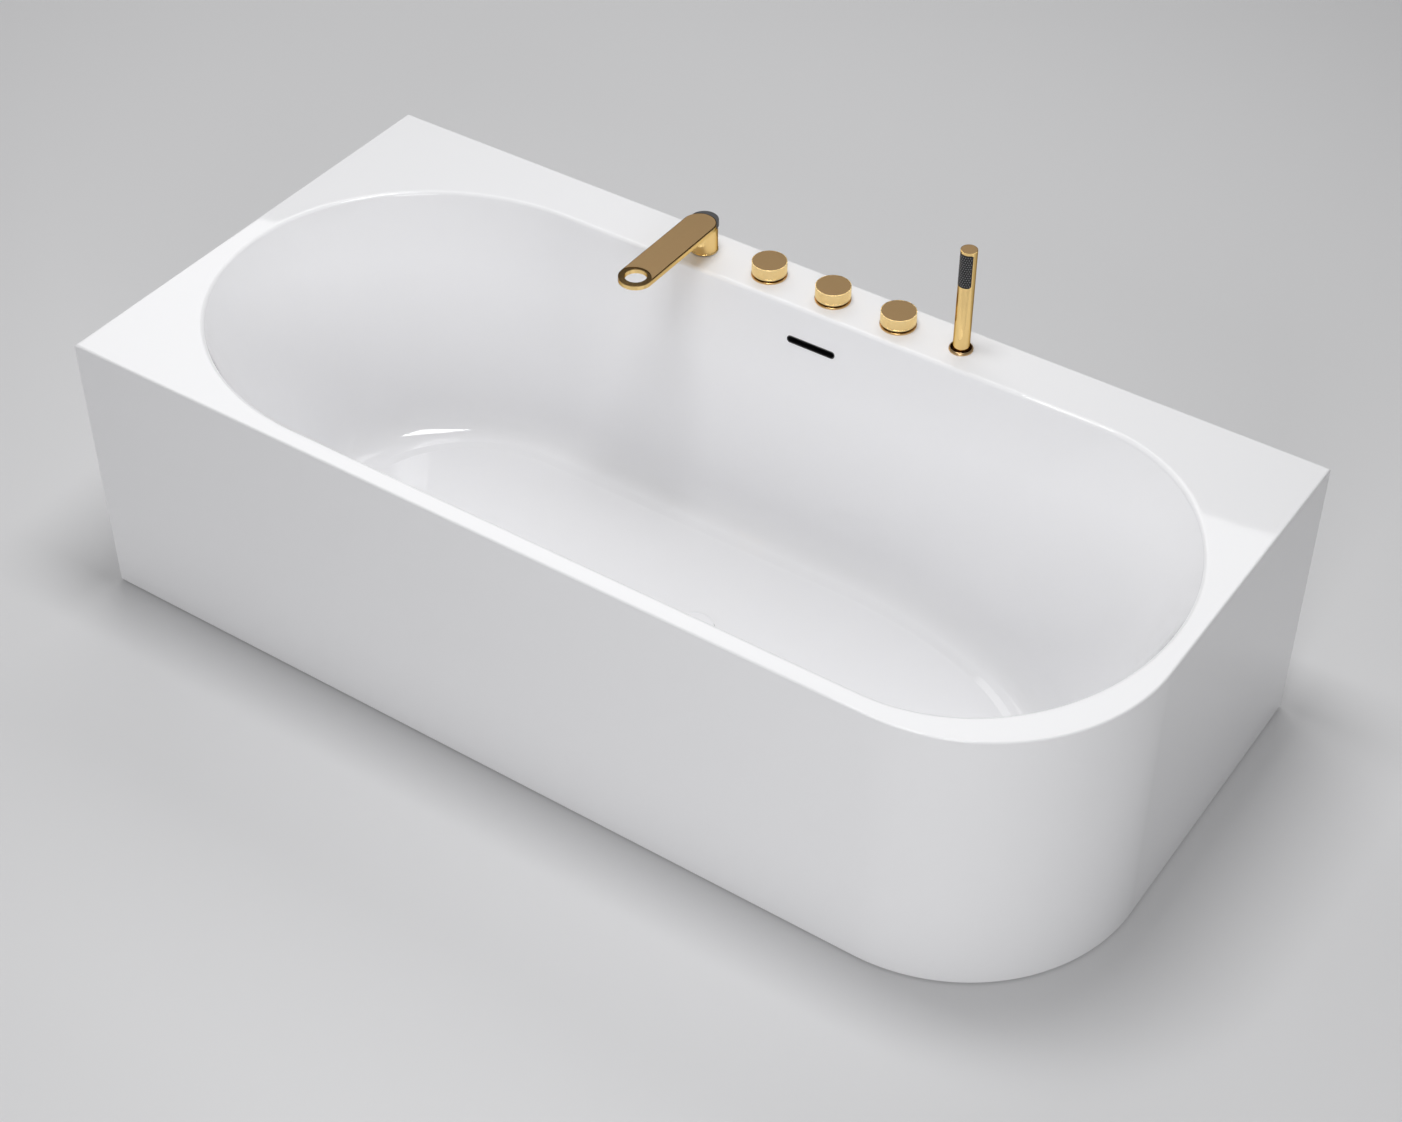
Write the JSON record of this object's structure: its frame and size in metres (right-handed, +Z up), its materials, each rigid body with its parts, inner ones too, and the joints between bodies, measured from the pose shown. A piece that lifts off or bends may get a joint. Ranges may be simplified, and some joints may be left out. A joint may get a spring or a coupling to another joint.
{
  "type": "back-to-wall freestanding bathtub",
  "caption": "Back-to-wall acrylic bath with a large rounded corner, oval basin, turning tap knobs, swivelling ring spout, lift-out hand shower, slot overflow and press plug.",
  "frame": {"origin": "on the floor, at the middle of the bath's base outline", "axes": "+X along the bath to the end with the rounded corner, +Y towards the wall behind the taps, +Z up"},
  "size_m": [1.7, 0.8, 0.662],
  "materials": {
    "acrylic": "smooth white sanitary acrylic, high gloss",
    "skirt_acrylic": "smooth white acrylic skirt, high gloss",
    "board": "plain particle board",
    "zinc_steel": "galvanised steel tube",
    "black_rubber": "black rubber",
    "white_cap": "gloss white plug cap",
    "chrome_trim": "bright chrome",
    "drain_plastic": "pale grey drain plastic",
    "lid_plastic": "dark grey drain plastic",
    "black_trim": "black overflow trim",
    "polished_gold": "polished gold",
    "dull_gold": "fine brushed gold inlay",
    "raw_brass": "plain machined brass",
    "dark_cap": "dark grey swivel cap",
    "black_panel": "black silicone jet panel"
  },
  "bodies": {
    "bath": {"bath_shell": "acrylic", "skirt": "skirt_acrylic", "skirt_spacers": "drain_plastic", "floor_board": "board", "cross_bars": "zinc_steel", "front_rail": "zinc_steel", "rear_posts": "zinc_steel", "rear_rails": "zinc_steel", "post_pads": "black_rubber", "foot_pads": "black_rubber", "foot_studs": "zinc_steel", "foot_nuts": "zinc_steel", "wall_brackets": "zinc_steel", "waste_flange": "chrome_trim", "waste_seals": "black_rubber", "waste_body": "drain_plastic", "waste_link": "drain_plastic", "trap_body": "drain_plastic", "trap_lid": "lid_plastic", "outlet_pipe": "drain_plastic", "overflow_trim": "black_trim", "overflow_gasket": "black_rubber", "overflow_head": "lid_plastic", "overflow_pipe": "drain_plastic", "spout_column": "polished_gold", "spout_gasket": "black_rubber", "spout_shank": "raw_brass", "spout_washer": "black_rubber", "spout_nut": "raw_brass", "knob_base_rings": "polished_gold", "tap_washers": "black_rubber", "hot_valve_body": "raw_brass", "cold_valve_body": "raw_brass", "diverter_body": "raw_brass", "shower_socket": "polished_gold", "socket_washer": "black_rubber", "socket_nut": "raw_brass"},
    "hot_tap": {"hot_knob": "polished_gold", "hot_knob_top": "dull_gold", "hot_spindle": "raw_brass"},
    "cold_tap": {"cold_knob": "polished_gold", "cold_knob_top": "dull_gold", "cold_spindle": "raw_brass"},
    "diverter": {"diverter_knob": "polished_gold", "diverter_knob_top": "dull_gold", "diverter_spindle": "raw_brass"},
    "spout": {"spout_body": "polished_gold", "spout_top_plate": "dull_gold", "spout_swivel_cap": "dark_cap", "flow_insert": "black_trim", "spout_seals": "black_rubber"},
    "hand_shower": {"shower_handle": "polished_gold", "shower_top_disc": "dull_gold", "spray_panel": "black_panel"},
    "plug": {"waste_plug": "white_cap", "plug_seal": "black_rubber"}
  },
  "joints": [
    {"name": "hot_turn", "type": "hinge", "parent": "bath", "child": "hot_tap", "pos_m": [-0.078, 0.35, 0.48], "axis": [0, 0, 1], "range_deg": [0, 90]},
    {"name": "cold_turn", "type": "hinge", "parent": "bath", "child": "cold_tap", "pos_m": [0.158, 0.35, 0.48], "axis": [0, 0, -1], "range_deg": [0, 90]},
    {"name": "diverter_turn", "type": "hinge", "parent": "bath", "child": "diverter", "pos_m": [0.04, 0.35, 0.48], "axis": [0, 0, 1], "range_deg": [0, 90]},
    {"name": "spout_swivel", "type": "hinge", "parent": "bath", "child": "spout", "pos_m": [-0.202, 0.35, 0.48], "axis": [0, 0, 1], "range_deg": [-60, 60]},
    {"name": "hand_shower_lift", "type": "slide", "parent": "bath", "child": "hand_shower", "axis": [0, 0, 1], "range_m": [0, 0.25]},
    {"name": "plug_lift", "type": "slide", "parent": "bath", "child": "plug", "axis": [0, 0, 1], "range_m": [0, 0.008]}
  ]
}
